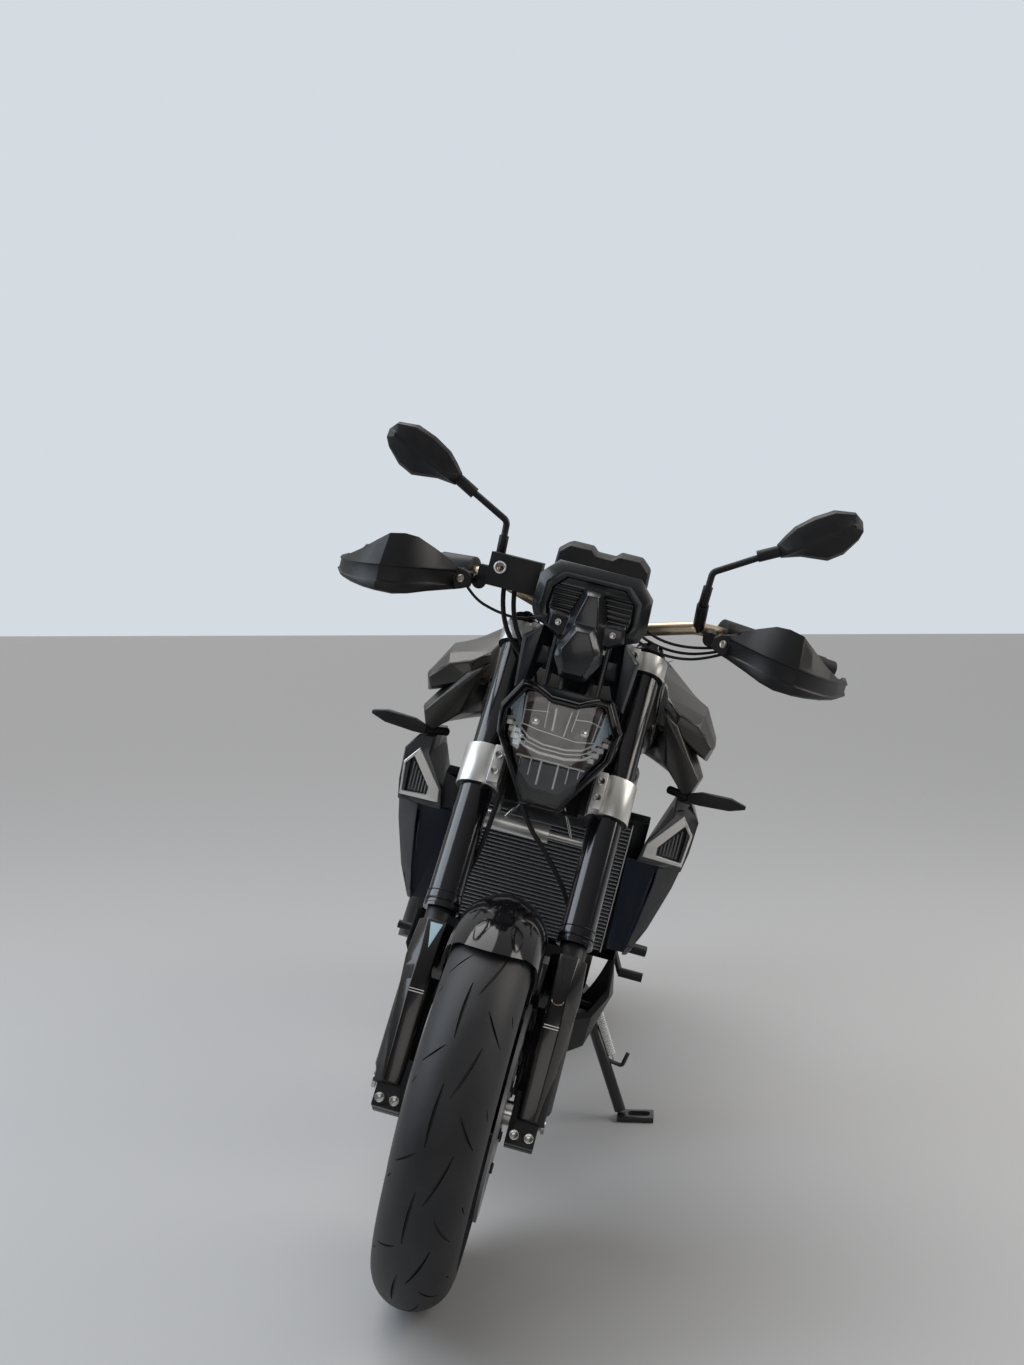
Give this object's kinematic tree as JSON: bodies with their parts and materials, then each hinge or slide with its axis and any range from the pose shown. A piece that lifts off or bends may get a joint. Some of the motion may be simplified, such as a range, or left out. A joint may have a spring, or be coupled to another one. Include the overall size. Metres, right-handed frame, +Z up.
{
  "type": "naked roadster motorcycle on its side stand",
  "caption": "Middleweight naked roadster motorcycle leaning on its side stand, with turning wheels, steering and a folding side stand.",
  "frame": {"origin": "middle of the machine's bounding box on the ground it stands on, leaning on its side stand", "axes": "-Y forwards, +Y to the rear, +X to the rider's left, +Z up"},
  "size_m": [0.886, 2.1328, 1.3085],
  "materials": {
    "bar_gold": "satin",
    "black_plastic": "matte",
    "bright_steel": "satin",
    "brushed": "brushed",
    "cast_black": "satin",
    "chain_steel": "oiled",
    "disc_steel": "satin",
    "engine_grey": "satin",
    "frame_black": "satin",
    "gloss_black": "gloss",
    "gloss_black_plastic": "gloss",
    "grip_rubber": "matte",
    "lamp_glass": "clear",
    "panel_grey": "satin",
    "radiator_black": "satin",
    "red_lens": "gloss",
    "seat_cover": "grained",
    "silver_alloy": "satin",
    "silver_alloy_dark": "satin",
    "tank_paint": "metallic satin",
    "tyre": "matte",
    "wheel_paint": "satin"
  },
  "bodies": {
    "chassis": {"main_frame": "frame_black", "rear_subframe": "frame_black", "crankcase": "engine_grey", "cylinders": "engine_grey", "engine_covers": "engine_grey", "radiator": "radiator_black", "radiator_shrouds": "panel_grey", "belly_spoiler": "black_plastic", "exhaust_headers": "bright_steel", "silencer": "brushed", "fuel_tank": "tank_paint", "tank_panels": "tank_paint", "rider_seat": "seat_cover", "passenger_seat": "seat_cover", "tail_cover": "panel_grey", "tail_lamp": "red_lens", "plate_holder": "black_plastic", "indicators": "black_plastic", "rear_axle": "bright_steel", "swingarm": "silver_alloy_dark", "rear_shock": "cast_black", "rear_caliper": "cast_black", "rear_hugger": "black_plastic", "chain": "chain_steel", "footrests": "cast_black", "foot_levers": "cast_black"},
    "fork": {"fork_outer_tubes": "gloss_black", "fork_bottoms": "cast_black", "fork_covers": "panel_grey", "front_calipers": "cast_black", "front_axle": "bright_steel", "lower_clamp": "silver_alloy", "upper_clamp": "silver_alloy", "front_mudguard": "gloss_black_plastic", "handlebar": "bar_gold", "grips": "grip_rubber", "controls_left": "black_plastic", "controls_right": "black_plastic", "mirror_left": "black_plastic", "mirror_right": "black_plastic", "hand_guards": "black_plastic", "headlamp_housing": "gloss_black_plastic", "headlamp_lens": "lamp_glass", "lamp_bracket": "black_plastic", "nose_cover": "panel_grey", "fly_screen": "black_plastic", "instrument": "black_plastic", "steering_damper": "silver_alloy", "brake_hoses": "grip_rubber"},
    "front_wheel": {"front_tyre": "tyre", "front_rim": "wheel_paint", "front_discs": "disc_steel"},
    "rear_wheel": {"rear_tyre": "tyre", "rear_rim": "wheel_paint", "rear_disc": "disc_steel", "rear_sprocket": "disc_steel"},
    "side_stand_arm": {"side_stand": "frame_black"}
  },
  "joints": [
    {"name": "steering", "type": "hinge", "parent": "chassis", "child": "fork", "pos_m": [-0.05062, -0.43792, 0.76081], "axis": [0.2164, 0.4919, 0.8433], "range_deg": [-34, 34]},
    {"name": "front_wheel_spin", "type": "hinge", "parent": "fork", "child": "front_wheel", "pos_m": [-0.17082, -0.7665, 0.29246], "axis": [0.9686, 0.0002, -0.2487], "continuous": true},
    {"name": "rear_wheel_spin", "type": "hinge", "parent": "chassis", "child": "rear_wheel", "pos_m": [-0.16709, 0.7515, 0.30799], "axis": [0.9686, 0.0002, -0.2487], "continuous": true},
    {"name": "side_stand_fold", "type": "hinge", "parent": "chassis", "child": "side_stand_arm", "pos_m": [-0.03399, 0.03355, 0.22275], "axis": [0.9096, -0.2155, 0.3552], "range_deg": [0, 97]}
  ]
}
